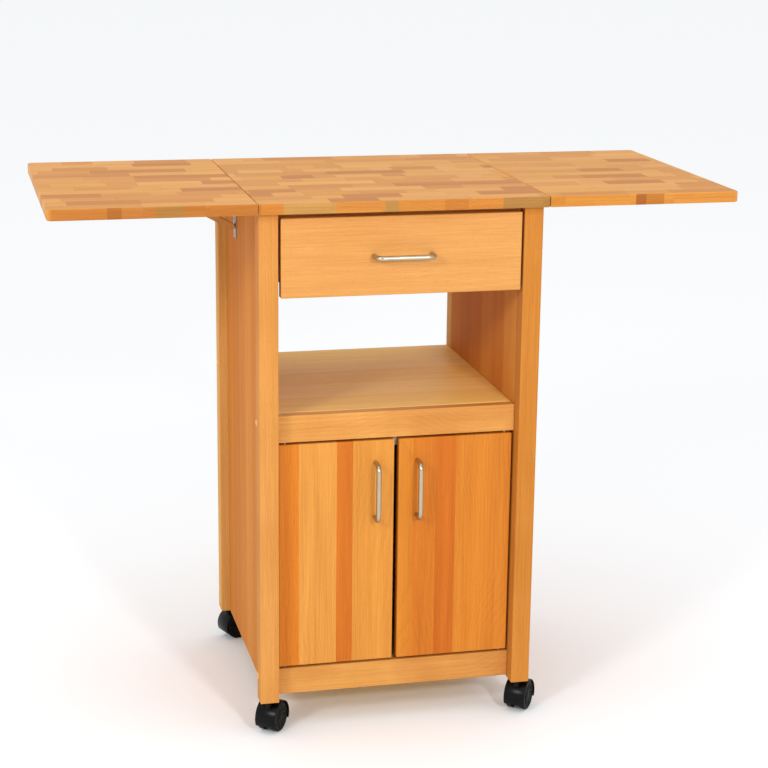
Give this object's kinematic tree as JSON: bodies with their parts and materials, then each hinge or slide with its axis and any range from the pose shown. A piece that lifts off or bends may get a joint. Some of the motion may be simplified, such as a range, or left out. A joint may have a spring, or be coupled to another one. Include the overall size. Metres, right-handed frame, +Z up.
{
  "type": "drop-leaf kitchen cart",
  "caption": "Butcher block kitchen cart with two drop leaves, a drawer, an open shelf and a two-door cupboard, standing on twin-wheel swivel casters.",
  "frame": {"origin": "on the floor, in the middle of the whole cart's box with both leaves up", "axes": "+X to the right along the open leaves, +Y to the back, +Z up; drawer and doors face -Y"},
  "size_m": [1.134, 0.516, 0.914],
  "materials": {
    "back_left_caster_hood": "glossy black moulded plastic",
    "back_left_caster_stem": "bright steel rod",
    "back_left_caster_wheels": "black moulded plastic",
    "back_left_leg": "clear varnished hardwood",
    "back_right_caster_hood": "glossy black moulded plastic",
    "back_right_caster_stem": "bright steel rod",
    "back_right_caster_wheels": "black moulded plastic",
    "back_right_leg": "clear varnished hardwood",
    "bottom_rail": "clear varnished hardwood",
    "brace_wall_plates": "plated steel",
    "caster_sockets": "black plastic",
    "cupboard_back": "varnished hardwood board",
    "cupboard_floor": "clear varnished hardwood",
    "door_catch": "moulded plastic",
    "drawer_back": "clear varnished hardwood",
    "drawer_bottom": "varnished hardwood board",
    "drawer_front": "clear varnished hardwood",
    "drawer_left_side": "clear varnished hardwood",
    "drawer_pull": "satin nickel rod",
    "drawer_right_side": "clear varnished hardwood",
    "drawer_runners": "cream powder coated steel",
    "drawer_slide_rails": "cream powder coated steel",
    "fixed_top": "clear varnished hardwood",
    "front_left_caster_hood": "glossy black moulded plastic",
    "front_left_caster_stem": "bright steel rod",
    "front_left_caster_wheels": "black moulded plastic",
    "front_left_leg": "clear varnished hardwood",
    "front_right_caster_hood": "glossy black moulded plastic",
    "front_right_caster_stem": "bright steel rod",
    "front_right_caster_wheels": "black moulded plastic",
    "front_right_leg": "clear varnished hardwood",
    "hinge_pins": "plated steel",
    "left_brace_bracket": "plated steel",
    "left_brace_pin": "plated steel",
    "left_door": "clear varnished hardwood",
    "left_door_pins": "plated steel",
    "left_door_pull": "satin nickel rod",
    "left_door_strike": "plated steel",
    "left_leaf": "clear varnished hardwood",
    "left_leaf_brace": "clear varnished hardwood",
    "left_leaf_hinge_plates": "plated steel",
    "left_side_panel": "varnished hardwood board",
    "open_shelf": "clear varnished hardwood",
    "right_brace_bracket": "plated steel",
    "right_brace_pin": "plated steel",
    "right_door": "clear varnished hardwood",
    "right_door_pins": "plated steel",
    "right_door_pull": "satin nickel rod",
    "right_door_strike": "plated steel",
    "right_leaf": "clear varnished hardwood",
    "right_leaf_brace": "clear varnished hardwood",
    "right_leaf_hinge_plates": "plated steel",
    "right_side_panel": "varnished hardwood board",
    "shelf_cleats": "clear varnished hardwood",
    "shelf_rail": "clear varnished hardwood",
    "top_hinge_plates": "plated steel",
    "top_stretcher": "clear varnished hardwood",
    "upper_back_rail": "clear varnished hardwood",
    "wood_plugs": "clear varnished hardwood"
  },
  "bodies": {
    "cart_frame": {"back_left_leg": "back_left_leg", "back_right_leg": "back_right_leg", "bottom_rail": "bottom_rail", "brace_wall_plates": "brace_wall_plates", "caster_sockets": "caster_sockets", "cupboard_back": "cupboard_back", "cupboard_floor": "cupboard_floor", "door_catch": "door_catch", "drawer_slide_rails": "drawer_slide_rails", "fixed_top": "fixed_top", "front_left_leg": "front_left_leg", "front_right_leg": "front_right_leg", "hinge_pins": "hinge_pins", "left_side_panel": "left_side_panel", "open_shelf": "open_shelf", "right_side_panel": "right_side_panel", "shelf_cleats": "shelf_cleats", "shelf_rail": "shelf_rail", "top_hinge_plates": "top_hinge_plates", "top_stretcher": "top_stretcher", "upper_back_rail": "upper_back_rail", "wood_plugs": "wood_plugs"},
    "left_leaf_assembly": {"left_leaf": "left_leaf", "left_leaf_hinge_plates": "left_leaf_hinge_plates", "left_brace_bracket": "left_brace_bracket", "left_brace_pin": "left_brace_pin"},
    "right_leaf_assembly": {"right_leaf": "right_leaf", "right_leaf_hinge_plates": "right_leaf_hinge_plates", "right_brace_bracket": "right_brace_bracket", "right_brace_pin": "right_brace_pin"},
    "left_brace": {"left_leaf_brace": "left_leaf_brace"},
    "right_brace": {"right_leaf_brace": "right_leaf_brace"},
    "drawer": {"drawer_front": "drawer_front", "drawer_left_side": "drawer_left_side", "drawer_right_side": "drawer_right_side", "drawer_back": "drawer_back", "drawer_bottom": "drawer_bottom", "drawer_pull": "drawer_pull", "drawer_runners": "drawer_runners"},
    "left_door_assembly": {"left_door": "left_door", "left_door_pins": "left_door_pins", "left_door_pull": "left_door_pull", "left_door_strike": "left_door_strike"},
    "right_door_assembly": {"right_door": "right_door", "right_door_pins": "right_door_pins", "right_door_pull": "right_door_pull", "right_door_strike": "right_door_strike"},
    "front_left_caster": {"front_left_caster_hood": "front_left_caster_hood", "front_left_caster_stem": "front_left_caster_stem"},
    "front_left_wheels": {"front_left_caster_wheels": "front_left_caster_wheels"},
    "front_right_caster": {"front_right_caster_hood": "front_right_caster_hood", "front_right_caster_stem": "front_right_caster_stem"},
    "front_right_wheels": {"front_right_caster_wheels": "front_right_caster_wheels"},
    "back_left_caster": {"back_left_caster_hood": "back_left_caster_hood", "back_left_caster_stem": "back_left_caster_stem"},
    "back_left_wheels": {"back_left_caster_wheels": "back_left_caster_wheels"},
    "back_right_caster": {"back_right_caster_hood": "back_right_caster_hood", "back_right_caster_stem": "back_right_caster_stem"},
    "back_right_wheels": {"back_right_caster_wheels": "back_right_caster_wheels"}
  },
  "joints": [
    {"name": "left_leaf_drop", "type": "hinge", "parent": "cart_frame", "child": "left_leaf_assembly", "pos_m": [-0.2395, 0, 0.8925], "axis": [0, -1, 0], "range_deg": [0, 90]},
    {"name": "left_brace_fold", "type": "hinge", "parent": "left_leaf_assembly", "child": "left_brace", "pos_m": [-0.3595, 0.102, 0.8885], "axis": [0, 1, 0], "range_deg": [0, 151.9]},
    {"name": "right_leaf_drop", "type": "hinge", "parent": "cart_frame", "child": "right_leaf_assembly", "pos_m": [0.2395, 0, 0.8925], "axis": [0, 1, 0], "range_deg": [0, 90]},
    {"name": "right_brace_fold", "type": "hinge", "parent": "right_leaf_assembly", "child": "right_brace", "pos_m": [0.3595, 0.102, 0.8885], "axis": [0, -1, 0], "range_deg": [0, 151.9]},
    {"name": "drawer_slide", "type": "slide", "parent": "cart_frame", "child": "drawer", "axis": [0, -1, 0], "range_m": [0, 0.3]},
    {"name": "left_door_swing", "type": "hinge", "parent": "cart_frame", "child": "left_door_assembly", "pos_m": [-0.189, -0.195, 0.3], "axis": [0, 0, -1], "range_deg": [0, 95]},
    {"name": "right_door_swing", "type": "hinge", "parent": "cart_frame", "child": "right_door_assembly", "pos_m": [0.189, -0.195, 0.3], "axis": [0, 0, 1], "range_deg": [0, 95]},
    {"name": "front_left_swivel", "type": "hinge", "parent": "cart_frame", "child": "front_left_caster", "pos_m": [-0.22, -0.212, 0.07], "axis": [0, 0, 1], "continuous": true},
    {"name": "front_left_roll", "type": "hinge", "parent": "front_left_caster", "child": "front_left_wheels", "pos_m": [-0.21177, -0.20067, 0.0255], "axis": [-0.809, 0.5878, 0], "continuous": true},
    {"name": "front_right_swivel", "type": "hinge", "parent": "cart_frame", "child": "front_right_caster", "pos_m": [0.22, -0.212, 0.07], "axis": [0, 0, 1], "continuous": true},
    {"name": "front_right_roll", "type": "hinge", "parent": "front_right_caster", "child": "front_right_wheels", "pos_m": [0.22842, -0.20082, 0.0255], "axis": [-0.7986, 0.6018, 0], "continuous": true},
    {"name": "back_left_swivel", "type": "hinge", "parent": "cart_frame", "child": "back_left_caster", "pos_m": [-0.22, 0.224, 0.07], "axis": [0, 0, 1], "continuous": true},
    {"name": "back_left_roll", "type": "hinge", "parent": "back_left_caster", "child": "back_left_wheels", "pos_m": [-0.20684, 0.22879, 0.0255], "axis": [-0.342, 0.9397, 0], "continuous": true},
    {"name": "back_right_swivel", "type": "hinge", "parent": "cart_frame", "child": "back_right_caster", "pos_m": [0.22, 0.224, 0.07], "axis": [0, 0, 1], "continuous": true},
    {"name": "back_right_roll", "type": "hinge", "parent": "back_right_caster", "child": "back_right_wheels", "pos_m": [0.23147, 0.21597, 0.0255], "axis": [0.5736, 0.8192, 0], "continuous": true}
  ],
  "couplings": [
    {"joint": "left_brace_fold", "follows": "left_leaf_drop", "ratio": 1.6867},
    {"joint": "right_brace_fold", "follows": "right_leaf_drop", "ratio": 1.6867}
  ]
}
